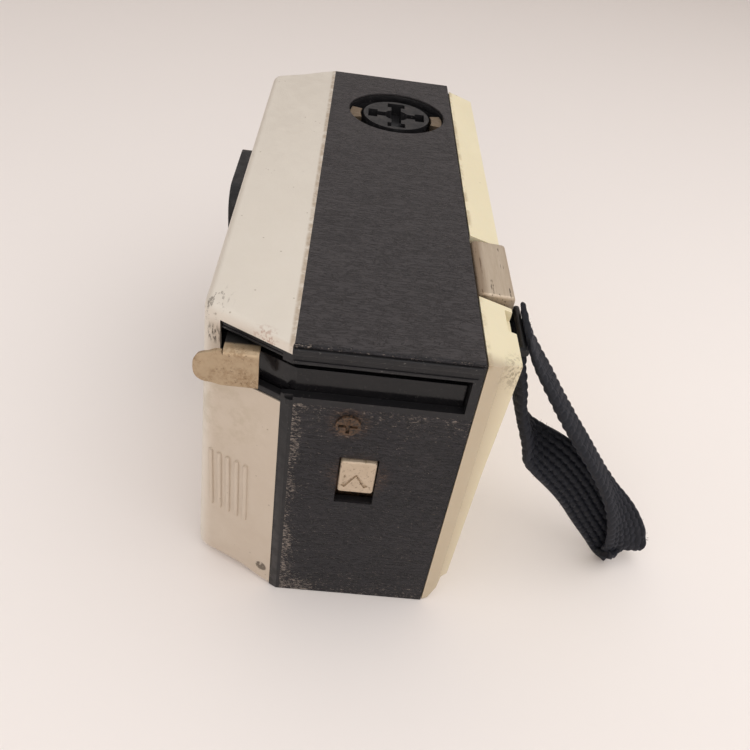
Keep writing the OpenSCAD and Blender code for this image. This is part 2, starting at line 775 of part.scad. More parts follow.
module ratchet_spring() {
    color([0.75, 0.75, 0.78])
    translate([0, 0, 3.2]) linear_extrude(1.8)
        polygon([[50, 10], [51.4, 10], [51.4, 8.6], [46.4, 2.2], [45.9, 2.6], [50, 8.9]]);
    color([0.75, 0.75, 0.78]) rod_z(50.7, 10, wall, 5, 1);
}

module lever_return_spring() {
    color([0.75, 0.75, 0.78]) coil(wind_x, wind_y, 34, 50, 2.6, 0.3, 12);
}

// ---------- latch ----------
module latch_button() {
    color([0.8, 0.77, 0.7])
    union() {
        box([near_x1 - 1, button_y0, button_z0], [hx + 0.6, button_y1, button_z1]);
        // raised arrow on the face
        for (s = [-1, 1]) translate([hx + 0.6, (button_y0 + button_y1) / 2, 34.6])
            rotate([s * 45, 0, 0]) translate([-0.4, -0.2, -3]) cube([0.6, 0.4, 3.2]);
    }
}

module latch_plate() {
    x1 = near_x1 - 1;
    color([0.75, 0.75, 0.78])
    union() {
        box([x1 - 0.8, -7, 25.4], [x1, 2.6, 40]);
        // foot that presses the return spring
        box([x1 - 4.6, -3.8, 32.1], [x1, -0.2, 32.7]);
        box([x1 - 0.8, 0, 33], [x1, 8, 37]);
    }
}

module latch_spring() {
    color([0.75, 0.75, 0.78]) coil(near_x1 - 4, -2, 12, 29.8, 1.8, 0.25, 9);
}

// ---------- back door ----------
// outline of the door seen from the end: y and z
function door_side() = [
    [door_y0, 0.2], [hy + 1.3, 0.2], [hy + 2.8, 3.4], [hy + 3.1, 5.8], [hy + 4.2, 6.4], [hy + 4.9, 35],
    [door_y1, 57.2], [door_y1, 58.2], [hy + 0.2, body_h]
];

module back_door() {
    color([0.9, 0.87, 0.74])
    difference() {
        union() {
            intersection() {
                translate([-hx, 0, 0]) rotate([90, 0, 90]) linear_extrude(body_l) polygon(door_side());
                linear_extrude(body_h + 1) polygon([
                    [hinge_x, hy], [hx, hy], [hx - 1, hy + 2.6], [hx - 1.5, hy + 2.8], [hx - 2.9, door_y1],
                    [-hx + 2.9, door_y1], [hinge_x, hy + 3]
                ]);
            }
            rod_z(hinge_x, hinge_y, ear_z1 + 0.3, ear_z2 - 0.3, knuckle_r);
        }
        // hollows behind the film chamber and the near compartment
        box([-48.4, hy, 10], [35.2, hy + 2.6, 46.4]);
        box([39.6, hy, 4], [50.4, hy + 2.6, 30]);
        box([39.6, hy, 40], [50.4, hy + 2.6, 53]);
        // groove for the light seal
        difference() {
            box([-51, hy, 7.4], [37.8, hy + 1.3, 50.6 - 1.6]);
            box([-49.6, hy - 1, 8.8], [36.4, hy + 2, 47.6]);
        }
        // seat of the catch
        box([45.6, hy, 31.5], [50.2, hy + 1, 38.5]);
        // room for the eyepiece bezel and the hinge ears
        box([cut_x0, hy - 1, cut_z0], [cut_x1, hy + 9, body_h + 2]);
        box([-hx - 1, hy - 1, -1], [hinge_x + 2.6, hy + 9, ear_z1 + 0.3]);
        box([-hx - 1, hy - 1, ear_z2 - 0.3], [hinge_x + 2.6, hy + 9, body_h + 1]);
        rod_z(hinge_x, hinge_y, 0, body_h, hinge_pin_r + run);
        // film window
        box([window_x0, hy, window_z0], [window_x1, hy + 9, window_z1]);
        // notch for the strap
        box([37.6, hy + 4.6, 56.4], [43.2, hy + 9, 61]);
    }
}

module hinge_pin() {
    color([0.75, 0.75, 0.78]) rod_z(hinge_x, hinge_y, 0.4, 58, hinge_pin_r);
}

module film_window() {
    color([0.75, 0.5, 0.2, 0.5])
    box([window_x0, hy + 2.8, window_z0], [window_x1, hy + 4, window_z1]);
}

module cartridge_spring() {
    // bowed leaf riveted inside the door, above the window
    color([0.75, 0.75, 0.78])
    translate([0, 0, 39]) linear_extrude(7)
        polygon([
            [-34, hy + 2.6], [-34, hy + 2.2], [-24, hy + 2.2], [-14, hy - 2], [-6, hy - 2], [4, hy + 2.2], [14, hy + 2.2],
            [14, hy + 2.6], [3.8, hy + 2.6], [-6.2, hy - 1.6], [-13.8, hy - 1.6], [-23.8, hy + 2.6]
        ]);
}

module light_seal() {
    color([0.05, 0.05, 0.05])
    difference() {
        box([-51, hy + 0.25, 7.4], [37.8, hy + 1.3, 49]);
        box([-49.6, hy - 1, 8.8], [36.4, hy + 3, 47.6]);
    }
}

module door_catch() {
    color([0.75, 0.75, 0.78])
    union() {
        box([47.2, 8.6, 33], [49.8, hy + 0.2, 37]);
        box([45.6, hy + 0.2, 31.5], [50.2, hy + 1, 38.5]);
    }
}

// bail beside the eyepiece; its far leg reaches down below the bezel into the door
module strap_lug() {
    color([0.12, 0.12, 0.12])
    union() {
        rod_x(lug_y, lug_z, 32, 44.2, 0.6);
        box([43.4, hy + 4.6, lug_z - 0.6], [44.2, lug_y + 0.3, lug_z + 0.6]);
        box([32, hy + 7, 47.4], [32.8, lug_y + 0.4, lug_z + 0.4]);
        box([32, hy + 4.6, 47.4], [32.8, lug_y, 48.6]);
    }
}

// one band: down the upper strand, round the tip, back up the lower strand
module wrist_strap() {
    color([0.07, 0.08, 0.11])
    band(
        concat(upper_run, tip_run, [for (i = [11 : -1 : 0]) lower_run[i]]),
        concat(upper_side, [for (i = [0 : 2]) upper_side[11]], [for (i = [11 : -1 : 0]) lower_side[i]]),
        strap_w, strap_t
    );
}

// ---------- fasteners ----------
module slotless_head(r, h) {
    difference() {
        cylinder(h = h, r = r);
        for (a = [0, 90]) rotate([0, 0, a]) translate([-1.5, -0.3, h - 0.42]) cube([3, 0.6, 1]);
    }
}

module end_screws() {
    color([0.5, 0.42, 0.34]) {
        translate([hx, -4.7, 45.5]) rotate([0, 90, 0]) union() {
            slotless_head(1.95, 0.6);
            translate([0, 0, -3.5]) cylinder(h = 3.5, r = 1);
        }
        translate([-hx, 0, 30]) rotate([0, -90, 0]) union() {
            slotless_head(1.95, 0.6);
            translate([0, 0, -2.2]) cylinder(h = 2.2, r = 1);
        }
    }
}

module base_screws() {
    color([0.6, 0.6, 0.6])
    for (p = [[-46, -9], [-46, 9], [10, 10]])
        translate([p[0], p[1], 0.9]) rotate([180, 0, 0]) union() {
            slotless_head(2, 0.6);
            translate([0, 0, -4.6]) cylinder(h = 4.6, r = 1);
        }
}

body_frame();
front_shell();
top_covering();
near_end_covering();
far_end_covering();
lens_panel();
lens_barrel();
lens_ring();
front_element();
rear_element();
shutter_plate();
shutter_blade();
blade_pin();
blade_spring();
light_tunnel();
release_button();
release_arm();
release_spring();
viewfinder_tube();
viewfinder_objective();
eyepiece_lens();
eyepiece_bezel();
flash_socket_well();
flash_rotor();
flash_contacts();
rotor_detent_spring();
battery_holder();
battery_cells();
battery_contacts();
lever_guide();
carrier_shelf();
advance_lever();
lever_rack();
wind_shaft();
wind_pinion();
drive_gear();
take_up_gear();
ratchet_spring();
lever_return_spring();
latch_button();
latch_plate();
latch_spring();
back_door();
hinge_pin();
film_window();
cartridge_spring();
light_seal();
door_catch();
strap_lug();
wrist_strap();
end_screws();
base_screws();
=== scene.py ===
"""Looks of the cartridge-film snapshot camera, built round its CAD frame. Metres, +Z up, lens facing -Y."""
import json
import math
import random

import bmesh
import bpy
import numpy as np
from mathutils import Matrix, Vector, noise


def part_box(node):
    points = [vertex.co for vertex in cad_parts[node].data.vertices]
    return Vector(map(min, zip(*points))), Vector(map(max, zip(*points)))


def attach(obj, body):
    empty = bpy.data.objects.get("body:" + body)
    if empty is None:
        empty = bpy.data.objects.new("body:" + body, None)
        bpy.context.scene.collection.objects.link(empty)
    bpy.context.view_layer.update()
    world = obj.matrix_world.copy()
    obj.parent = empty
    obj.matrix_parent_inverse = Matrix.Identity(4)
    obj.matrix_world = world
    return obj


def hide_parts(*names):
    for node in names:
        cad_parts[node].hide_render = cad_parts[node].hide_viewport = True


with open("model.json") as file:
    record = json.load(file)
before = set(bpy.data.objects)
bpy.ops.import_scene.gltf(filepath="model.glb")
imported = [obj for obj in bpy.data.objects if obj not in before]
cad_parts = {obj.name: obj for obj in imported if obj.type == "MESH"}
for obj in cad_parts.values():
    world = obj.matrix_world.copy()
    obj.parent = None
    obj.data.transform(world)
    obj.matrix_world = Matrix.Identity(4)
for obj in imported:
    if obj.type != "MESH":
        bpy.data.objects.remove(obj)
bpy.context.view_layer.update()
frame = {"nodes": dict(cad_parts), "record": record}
NODES = frame["nodes"]
MM = 0.001
rng = random.Random(7)


# ---------- helpers: colours and shader nodes ----------
def srgb(r, g, b):
    """Linear colour from 0-255 display values."""
    def one(v):
        v /= 255
        return v / 12.92 if v <= 0.04045 else ((v + 0.055) / 1.055) ** 2.4
    return (one(r), one(g), one(b), 1.0)


class Shader:
    """A principled material with short calls for the nodes that drive it, in object coordinates (metres)."""

    def __init__(self, name, colour, rough=0.5, metal=0.0, **sockets):
        self.mat = bpy.data.materials.new(name)
        self.mat.use_nodes = True
        self.tree = self.mat.node_tree
        self.bsdf = self.tree.nodes["Principled BSDF"]
        self.bsdf.inputs["Base Color"].default_value = colour
        self.bsdf.inputs["Roughness"].default_value = rough
        self.bsdf.inputs["Metallic"].default_value = metal
        for key, value in sockets.items():
            self.bsdf.inputs[key.replace("_", " ")].default_value = value
        self.coord = self.tree.nodes.new("ShaderNodeTexCoord").outputs["Object"]

    def node(self, kind, **props):
        n = self.tree.nodes.new(kind)
        for key, value in props.items():
            setattr(n, key, value)
        return n

    def link(self, out, socket):
        self.tree.links.new(out, socket)

    def feed(self, socket, value):
        """Links a socket, or sets a plain value."""
        if isinstance(value, bpy.types.NodeSocket):
            self.link(value, socket)
        else:
            socket.default_value = value

    def place(self, scale=(1, 1, 1), shift=(0, 0, 0), turn=(0, 0, 0)):
        m = self.node("ShaderNodeMapping")
        m.inputs["Scale"].default_value = scale
        m.inputs["Location"].default_value = shift
        m.inputs["Rotation"].default_value = turn
        self.link(self.coord, m.inputs["Vector"])
        return m.outputs["Vector"]

    def noise(self, scale, detail=4, rough=0.55, distort=0.0, stretch=(1, 1, 1), shift=(0, 0, 0),
              turn=(0, 0, 0)):
        n = self.node("ShaderNodeTexNoise")
        self.link(self.place(stretch, shift, turn), n.inputs["Vector"])
        levels = {"Scale": scale, "Detail": detail, "Roughness": rough, "Distortion": distort}
        for key, value in levels.items():
            n.inputs[key].default_value = value
        return n.outputs["Fac"]

    def voronoi(self, scale, stretch=(1, 1, 1), feature="F1", shift=(0, 0, 0), out="Distance"):
        n = self.node("ShaderNodeTexVoronoi", feature=feature)
        self.link(self.place(stretch, shift), n.inputs["Vector"])
        n.inputs["Scale"].default_value = scale
        return n.outputs[out]

    def math(self, op, a, b=0.0, clamp=False):
        n = self.node("ShaderNodeMath", operation=op, use_clamp=clamp)
        self.feed(n.inputs[0], a)
        self.feed(n.inputs[1], b)
        return n.outputs[0]

    def axis(self, which):
        n = self.node("ShaderNodeSeparateXYZ")
        self.link(self.coord, n.inputs[0])
        return n.outputs[which]

    def step(self, value, low, high, to=(0.0, 1.0), kind="SMOOTHSTEP"):
        """Maps value from low..high to the range to, held at both ends."""
        n = self.node("ShaderNodeMapRange", interpolation_type=kind)
        self.feed(n.inputs["Value"], value)
        n.inputs["From Min"].default_value = low
        n.inputs["From Max"].default_value = high
        n.inputs["To Min"].default_value = to[0]
        n.inputs["To Max"].default_value = to[1]
        return n.outputs["Result"]

    def near(self, point, radius, fade=0.5):
        """1 close to a point, falling to 0 at the radius."""
        n = self.node("ShaderNodeVectorMath", operation="DISTANCE")
        self.link(self.coord, n.inputs[0])
        n.inputs[1].default_value = point
        return self.step(n.outputs["Value"], radius * fade, radius, (1.0, 0.0))

    def mix(self, fac, a, b, blend="MIX"):
        n = self.node("ShaderNodeMix", data_type="RGBA", blend_type=blend)
        self.feed(n.inputs[0], fac)
        self.feed(n.inputs[6], a)
        self.feed(n.inputs[7], b)
        return n.outputs[2]

    def colour(self, value):
        self.feed(self.bsdf.inputs["Base Color"], value)

    def rough(self, value):
        self.feed(self.bsdf.inputs["Roughness"], value)

    def metal(self, value):
        self.feed(self.bsdf.inputs["Metallic"], value)

    def bump(self, height, depth, strength=1.0):
        """Adds relief: depth is the height in metres that a change from 0 to 1 stands for."""
        n = self.node("ShaderNodeBump")
        n.inputs["Strength"].default_value = strength
        n.inputs["Distance"].default_value = depth
        self.feed(n.inputs["Height"], height)
        old = self.bsdf.inputs["Normal"]
        if old.is_linked:
            self.link(old.links[0].from_socket, n.inputs["Normal"])
        self.link(n.outputs["Normal"], old)


# ---------- materials ----------
def silver_lacquer():
    s = Shader("silver_lacquer", srgb(206, 198, 186), 0.42, 0.3)
    mottle = s.noise(90, 5, 0.6)
    speck = s.step(s.voronoi(620, shift=(0.3, 0.1, 0)), 0.08, 0.13, (1, 0))
    sparse = s.step(s.noise(240, 2), 0.56, 0.62)
    col = s.mix(mottle, srgb(227, 219, 207), srgb(217, 208, 195))
    # the bevels below the slot are painted a darker tan than the top: painted shade, with a yellowed tone
    outboard = s.step(s.math("ABSOLUTE", s.axis(0)), 0.0462, 0.0478)
    bevel = s.math("MULTIPLY", outboard, s.step(s.axis(2), 0.0585, 0.0565))
    tan = s.mix(s.noise(130, 5, 0.65), srgb(203, 190, 173), srgb(188, 171, 152))
    col = s.mix(s.math("MULTIPLY", bevel, 0.85), col, tan)
    patch = s.near((0.0485, -0.0262, 0.040), 0.012, 0.2)
    green = s.math("MULTIPLY", patch, s.step(s.noise(260, 5, 0.7), 0.42, 0.62))
    col = s.mix(s.math("MULTIPLY", green, 0.28), col, srgb(160, 146, 112))
    # a thin brown line along the seam with the leather
    wander = s.noise(420, 5, 0.7)
    seam = s.math("MULTIPLY", s.step(s.axis(1), -0.01475, -0.01425), s.step(wander, 0.3, 0.6))
    col = s.mix(s.math("MULTIPLY", seam, 0.62), col, srgb(150, 124, 92))
    rust_spot = s.near((0.0522, -0.0185, 0.0590), 0.0030, 0.2)
    rust = s.math("MULTIPLY", rust_spot, s.step(s.noise(1500, 4), 0.46, 0.62))
    col = s.mix(s.math("MULTIPLY", rust, 0.6), col, srgb(158, 104, 80))
    col = s.mix(s.math("MULTIPLY", s.math("MULTIPLY", speck, sparse), 0.5), col, srgb(134, 118, 96))
    # worn corner: short dark scratches where the top, the front and the bevel meet
    scratch = s.step(s.noise(1500, 3, 0.7, stretch=(0.35, 1, 1), turn=(0, 0, 0.9)), 0.57, 0.62)
    scuff = s.math("MULTIPLY", s.near((0.0448, -0.0274, 0.0596), 0.0046, 0.2), scratch)
    col = s.mix(s.math("MULTIPLY", scuff, 0.65), col, srgb(104, 94, 82))
    # dark scrape beside the slot and a chip near the base
    beside_slot = s.near((0.0474, -0.0264, 0.0552), 0.0022, 0.3)
    streaks = s.step(s.noise(1800, 4, 0.7, stretch=(1, 1, 0.3)), 0.5, 0.56)
    scrape = s.math("MULTIPLY", beside_slot, streaks)
    near_base = s.near((0.0526, -0.0172, 0.0044), 0.0013, 0.75)
    chip = s.math("MULTIPLY", near_base, s.step(s.noise(1400, 3), 0.35, 0.42))
    hurt = s.math("MAXIMUM", scrape, chip)
    col = s.mix(s.math("MULTIPLY", hurt, 0.85), col, srgb(78, 66, 50))
    s.colour(col)
    s.rough(s.step(s.noise(420, 4), 0.3, 0.75, (0.34, 0.52)))
    s.bump(s.noise(2600, 2, 0.6), 0.00002)
    s.bump(s.noise(900, 3), 0.00003)
    s.bump(s.math("MULTIPLY", s.math("MAXIMUM", scuff, hurt), -1.0), 0.00008)
    return s.mat


def leatherette():
    s = Shader("leatherette", srgb(34, 33, 35), 0.55, 0.0, Specular_IOR_Level=0.35)
    # creases run across the depth of the camera
    crease = s.noise(1150, 4, 0.6, 1.6, stretch=(1, 0.2, 1))
    fold_and_shade = s.step(s.math("ABSOLUTE", s.math("SUBTRACT", crease, 0.5)), 0.0, 0.05)
    fine = s.noise(3000, 4, 0.65, 0.6, stretch=(1, 0.4, 1))
    # the creases are painted darker: painted shade in the folds
    col = s.mix(fold_and_shade, srgb(20, 19, 22), s.mix(crease, srgb(28, 26, 30), srgb(35, 33, 37)))
    end = s.step(s.axis(0), 0.0530, 0.0538)
    # the top and the other faces off the end are painted lighter than the end: painted light from above
    top_lit_tone = s.mix(fold_and_shade, srgb(56, 51, 52), srgb(70, 65, 65))
    col = s.mix(s.math("MULTIPLY", s.math("SUBTRACT", 1.0, end), 0.55), col, top_lit_tone)
    wear = s.step(s.noise(70, 6, 0.7), 0.5, 0.72)
    col = s.mix(s.math("MULTIPLY", wear, s.step(end, 0, 1, (0.34, 0.16))), col, srgb(70, 66, 66))
    # pale fibres and dust caught in the grain, thickest on the end and along its front and lower rims
    speck = s.noise(3200, 5, 0.8, 0.4, stretch=(1, 0.45, 1))
    stray = s.math("MULTIPLY", s.noise(190, 4, 0.7), 0.0075)
    front = s.step(s.math("ADD", s.axis(1), stray), -0.0062, -0.0100)
    low = s.step(s.axis(2), 0.009, 0.001)
    foot = s.math("MULTIPLY", low, s.step(s.axis(1), -0.004, -0.0095))
    top = s.math("MULTIPLY", s.step(s.axis(2), 0.040, 0.048), 0.45)
    rims = s.math("MAXIMUM", front, s.math("MAXIMUM", foot, top))
    spread = s.math("ADD", s.math("MULTIPLY", low, 0.35), 0.12)
    zone = s.math("MULTIPLY", end, s.math("MAXIMUM", spread, rims))
    by_screw = s.near((0.054, -0.0047, 0.0455), 0.0042, 0.5)
    by_button = s.near((0.054, -0.002, 0.0335), 0.0062, 0.5)
    around = s.math("MAXIMUM", by_screw, by_button)
    zone = s.math("MAXIMUM", zone, s.math("MULTIPLY", around, 0.55))
    level = s.math("ADD", s.math("MULTIPLY", zone, 0.13), s.math("MULTIPLY", s.noise(300, 4, 0.7), 0.10))
    grit = s.step(s.math("ADD", speck, level), 0.68, 0.73)
    grit = s.math("MULTIPLY", grit, s.math("ADD", s.math("MULTIPLY", end, 0.40), 0.25))
    col = s.mix(grit, col, srgb(182, 168, 156))
    brown = s.math("MULTIPLY", around, s.step(speck, 0.45, 0.6))
    col = s.mix(s.math("MULTIPLY", brown, 0.6), col, srgb(104, 78, 60))
    s.colour(col)
    s.rough(s.step(fine, 0.3, 0.7, (0.45, 0.7)))
    s.bump(fold_and_shade, 0.00007)
    s.bump(fine, 0.00008)
    s.bump(grit, 0.00010)
    return s.mat


def cream_plastic():
    s = Shader("cream_plastic", srgb(232, 224, 194), 0.46, 0.0, Subsurface_Weight=0.06)
    s.bsdf.inputs["Subsurface Radius"].default_value = (0.003, 0.002, 0.001)
    # the near side face is painted darker than the top: painted shade, with some grime
    side = s.step(s.axis(0), 0.0500, 0.0535)
    col = s.mix(s.noise(45, 5, 0.6), srgb(236, 226, 195), srgb(226, 213, 179))
    col = s.mix(s.math("MULTIPLY", side, 0.75), col, srgb(171, 153, 131))
    # grime against the black band and scuffs at the near top corner
    seam = s.math("MULTIPLY", s.step(s.axis(1), 0.0152, 0.0144), s.step(s.noise(260, 5, 0.7), 0.4, 0.6))
    seam = s.math("MULTIPLY", seam, s.step(s.axis(2), 0.0585, 0.0595))
    col = s.mix(s.math("MULTIPLY", seam, 0.5), col, srgb(150, 128, 92))
    corner = s.near((0.0518, 0.0196, 0.0570), 0.0046, 0.2)
    mark = s.step(s.noise(1500, 4, 0.72), 0.50, 0.58)
    scuff = s.math("MULTIPLY", corner, mark)
    col = s.mix(s.math("MULTIPLY", scuff, 0.5), col, srgb(104, 88, 62))
    dots = s.step(s.voronoi(420), 0.07, 0.11, (1, 0))
    spots = s.math("MULTIPLY", dots, s.step(s.noise(150, 2), 0.56, 0.62))
    col = s.mix(s.math("MULTIPLY", spots, 0.5), col, srgb(150, 132, 100))
    s.colour(col)
    s.rough(s.step(s.noise(300, 4), 0.3, 0.7, (0.38, 0.56)))
    s.bump(s.noise(1800, 3), 0.00001)
    s.bump(s.noise(220, 3), 0.00003)
    s.bump(s.math("MULTIPLY", scuff, -1.0), 0.00005)
    return s.mat


def plastic(name, colour, rough, dust=0.25, dust_colour=(150, 146, 140)):
    """Moulded plastic: fine sparkle texture, worn sheen and dust."""
    s = Shader(name, colour, rough)
    specks = s.math("MULTIPLY", s.step(s.noise(2200, 4, 0.75), 0.63, 0.68), dust)
    tone = s.mix(s.noise(160, 4), colour, tuple(min(1, c * 1.5 + 0.004) for c in colour[:3]) + (1.0,))
    s.colour(s.mix(specks, tone, srgb(*dust_colour)))
    s.rough(s.step(s.noise(500, 4), 0.3, 0.7, (rough * 0.8, min(1, rough * 1.3))))
    s.bsdf.inputs["Specular IOR Level"].default_value = 0.32
    s.bump(s.noise(2400, 2), 0.000012)
    return s.mat


def tarnished_nickel():
    s = Shader("tarnished_nickel", srgb(196, 176, 150), 0.4, 0.6)
    broad, fine = s.noise(260, 3, 0.6), s.noise(1700, 5, 0.7)
    blotch = s.math("MULTIPLY", s.step(broad, 0.34, 0.6), s.step(fine, 0.42, 0.6))
    col = s.mix(broad, srgb(187, 167, 139), srgb(165, 142, 115))
    col = s.mix(s.math("MULTIPLY", blotch, 0.55), col, srgb(138, 110, 76))
    pits = s.math("MULTIPLY", s.step(s.noise(3000, 3, 0.7), 0.6, 0.66), s.step(broad, 0.4, 0.5))
    col = s.mix(s.math("MULTIPLY", pits, 0.6), col, srgb(88, 66, 42))
    # the inner end of the flange is painted black: painted shade of the recess under the frame
    painted_recess_shade = s.step(s.axis(0), 0.0502, 0.0508, (1, 0))
    col = s.mix(painted_recess_shade, col, srgb(22, 20, 19))
    s.colour(col)
    s.rough(s.step(fine, 0.3, 0.7, (0.34, 0.56)))
    s.metal(s.math("MULTIPLY", s.step(fine, 0.35, 0.7, (0.75, 0.5)), s.math("SUBTRACT", 1.0, painted_recess_shade)))
    s.bump(fine, 0.00003)
    s.bump(s.math("MULTIPLY", pits, -1.0), 0.00002)
    return s.mat


def brushed_nickel():
    s = Shader("brushed_nickel", srgb(196, 182, 164), 0.4, 0.55)
    lines = s.noise(2200, 4, 0.7, stretch=(0.06, 1, 1))
    dark = s.step(s.noise(2200, 3, 0.6, stretch=(0.10, 1, 1), shift=(0.2, 0, 0)), 0.60, 0.66)
    far = s.step(s.noise(260, 2), 0.46, 0.54)
    col = s.mix(lines, srgb(208, 192, 172), srgb(172, 154, 132))
    col = s.mix(s.math("MULTIPLY", s.math("MULTIPLY", dark, far), 0.8), col, srgb(66, 54, 42))
    brown = s.step(s.axis(1), 0.0164, 0.0150)
    col = s.mix(s.math("MULTIPLY", brown, 0.7), col, srgb(120, 96, 72))
    s.colour(col)
    s.rough(s.step(lines, 0.3, 0.7, (0.32, 0.55)))
    s.bump(lines, 0.00002)
    return s.mat


def dirty_steel():
    s = Shader("dirty_steel", srgb(190, 186, 176), 0.42, 0.45)
    dirt = s.step(s.noise(1300, 5, 0.7), 0.54, 0.66)
    col = s.mix(s.noise(700, 4), srgb(205, 187, 165), srgb(180, 161, 137))
    col = s.mix(s.math("MULTIPLY", dirt, 0.7), col, srgb(104, 82, 60))
    s.colour(col)
    s.rough(s.step(dirt, 0, 1, (0.35, 0.7)))
    s.bump(s.noise(1600, 4), 0.00002)
    return s.mat


def rusty_screw():
    s = Shader("rusty_screw", srgb(74, 62, 52), 0.65, 0.3)
    rust = s.noise(2200, 5, 0.7)
    s.colour(s.mix(s.step(rust, 0.36, 0.62), srgb(22, 19, 18), srgb(100, 76, 56)))
    s.rough(s.step(rust, 0.3, 0.7, (0.4, 0.75)))
    s.bump(rust, 0.00005)
    return s.mat


def metal(name, colour, rough=0.35):
    s = Shader(name, colour, rough, 1.0)
    dull = tuple(c * 0.6 for c in colour[:3]) + (1.0,)
    s.colour(s.mix(s.noise(600, 5, 0.65), colour, dull))
    s.rough(s.step(s.noise(900, 4), 0.3, 0.7, (rough * 0.7, rough * 1.4)))
    s.bump(s.noise(1800, 2, stretch=(1, 0.2, 1)), 0.00001)
    return s.mat


def webbing():
    s = Shader("webbing", srgb(20, 22, 30), 0.7, 0.0, Specular_IOR_Level=0.3, Sheen_Weight=0.15,
               Sheen_Roughness=0.5)
    s.bsdf.inputs["Sheen Tint"].default_value = srgb(120, 126, 150)
    fibre = s.noise(3200, 4, 0.7)
    col = s.mix(fibre, srgb(7, 8, 12), srgb(26, 28, 36))
    lint = s.step(s.noise(2600, 3, 0.8), 0.66, 0.7)
    s.colour(s.mix(s.math("MULTIPLY", lint, 0.25), col, srgb(120, 120, 126)))
    s.bump(fibre, 0.00006)
    return s.mat


def clear_glass(name, tint, rough=0.02):
    s = Shader(name, tint, rough, 0.0, Transmission_Weight=0.9, IOR=1.5)
    smear = s.step(s.noise(300, 4), 0.4, 0.8, (rough, rough + 0.12))
    s.rough(smear)
    s.bump(s.noise(400, 2), 0.000004)
    return s.mat


def foam():
    s = Shader("foam", srgb(22, 22, 22), 0.95)
    s.colour(s.mix(s.noise(1500, 4), srgb(14, 14, 14), srgb(40, 40, 40)))
    s.bump(s.voronoi(2400), 0.0001)
    return s.mat


def cell_jacket():
    s = Shader("cell_jacket", srgb(40, 62, 110), 0.35, 0.2)
    band = s.step(s.axis(2), 0.036, 0.0362)
    s.colour(s.mix(band, srgb(38, 58, 104), s.mix(s.noise(500), srgb(190, 150, 80), srgb(160, 120, 60))))
    s.bump(s.noise(700, 2), 0.00001)
    return s.mat


MATERIALS = {
    "silver_shell": silver_lacquer(),
    "leatherette": leatherette(),
    "cream_plastic": cream_plastic(),
    "black_plastic": plastic("black_plastic", srgb(21, 20, 22), 0.4, 0.3),
    "gloss_black": plastic("gloss_black", srgb(12, 11, 13), 0.14, 0.12),
    "nickel": tarnished_nickel(),
    "brass": metal("brass", srgb(205, 175, 110)),
    "steel": metal("steel", srgb(176, 176, 178)),
    "rusty_screw": rusty_screw(),
    "glass": clear_glass("glass", srgb(235, 242, 250)),
    "amber": clear_glass("amber", srgb(190, 110, 40), 0.15),
    "foam": foam(),
    "webbing": webbing(),
    "gear_plastic": plastic("gear_plastic", srgb(226, 220, 198), 0.4, 0.08, (120, 110, 90)),
    "cell_jacket": cell_jacket(),
    "lacquer_black": plastic("lacquer_black", srgb(26, 26, 27), 0.6, 0.1),
}
BRUSHED = brushed_nickel()
DIRTY = dirty_steel()
DULL = metal("dull_contacts", srgb(150, 132, 112), 0.5)


# ---------- CAD nodes that stay: a better material and eased edges ----------
EASE = {
    "body_frame": 0.25, "top_covering": 0.2, "back_door": 0.45,
    "lens_panel": 0.5, "lens_barrel": 0.15, "lever_guide": 0.15, "release_button": 0.4,
    "flash_rotor": 0.25, "flash_contacts": 0.15, "end_screws": 0.1, "lens_ring": 0.15,
    "flash_socket_well": 0.1, "strap_lug": 0.15,
}


def ease(obj, width, segments=3):
    """Rounds the sharp edges of a piece."""
    weld = obj.modifiers.new("weld", "WELD")
    weld.merge_threshold = 0.00001
    bevel = obj.modifiers.new("ease", "BEVEL")
    bevel.width = width * MM
    bevel.segments = segments
    bevel.limit_method = "ANGLE"
    bevel.angle_limit = math.radians(35)
    bevel.use_clamp_overlap = True
    bevel.harden_normals = True


def dress_cad():
    slots = {row["node"]: row["material_slot"] for row in frame["record"]["subparts"]}
    for name, obj in NODES.items():
        mat = MATERIALS[slots[name]]
        if not obj.data.materials:
            obj.data.materials.append(mat)
        for i in range(len(obj.material_slots)):
            obj.material_slots[i].material = mat
        if name in EASE:
            ease(obj, EASE[name])
    NODES["flash_contacts"].material_slots[0].material = DULL
    NODES["latch_plate"].material_slots[0].material = MATERIALS["rusty_screw"]


dress_cad()


# ---------- mesh helpers ----------
def mesh_object(name, verts, faces, material, smooth_angle=40):
    """An object from points in millimetres, smooth shaded except across sharp folds."""
    mesh = bpy.data.meshes.new(name)
    mesh.from_pydata([tuple(float(c) * MM for c in v) for v in verts], [], [tuple(f) for f in faces])
    bm = bmesh.new()
    bm.from_mesh(mesh)
    bmesh.ops.remove_doubles(bm, verts=bm.verts, dist=1e-6)
    bmesh.ops.recalc_face_normals(bm, faces=bm.faces)
    bm.to_mesh(mesh)
    bm.free()
    mesh.polygons.foreach_set("use_smooth", [True] * len(mesh.polygons))
    mesh.set_sharp_from_angle(angle=math.radians(smooth_angle))
    mesh.materials.append(material)
    obj = bpy.data.objects.new(name, mesh)
    bpy.context.scene.collection.objects.link(obj)
    return obj


def loft(name, rings, material):
    """A closed solid through rings that have the same number of points."""
    n = len(rings[0])
    verts = [v for ring in rings for v in ring]
    faces = [(i * n + j, i * n + (j + 1) % n, (i + 1) * n + (j + 1) % n, (i + 1) * n + j)
             for i in range(len(rings) - 1) for j in range(n)]
    faces += [tuple(range(n)), tuple((len(rings) - 1) * n + j for j in range(n))]
    return mesh_object(name, verts, faces, material)


def block(low, high):
    """The eight corners of a box as two rings."""
    (x0, y0, z0), (x1, y1, z1) = low, high
    return [[(x0, y0, z), (x1, y0, z), (x1, y1, z), (x0, y1, z)] for z in (z0, z1)]


def rod(x, z, y0, y1, r, n=64):
    turn = [2 * math.pi * k / n for k in range(n)]
    return [[(x + r * math.cos(a), y, z + r * math.sin(a)) for a in turn] for y in (y0, y1)]


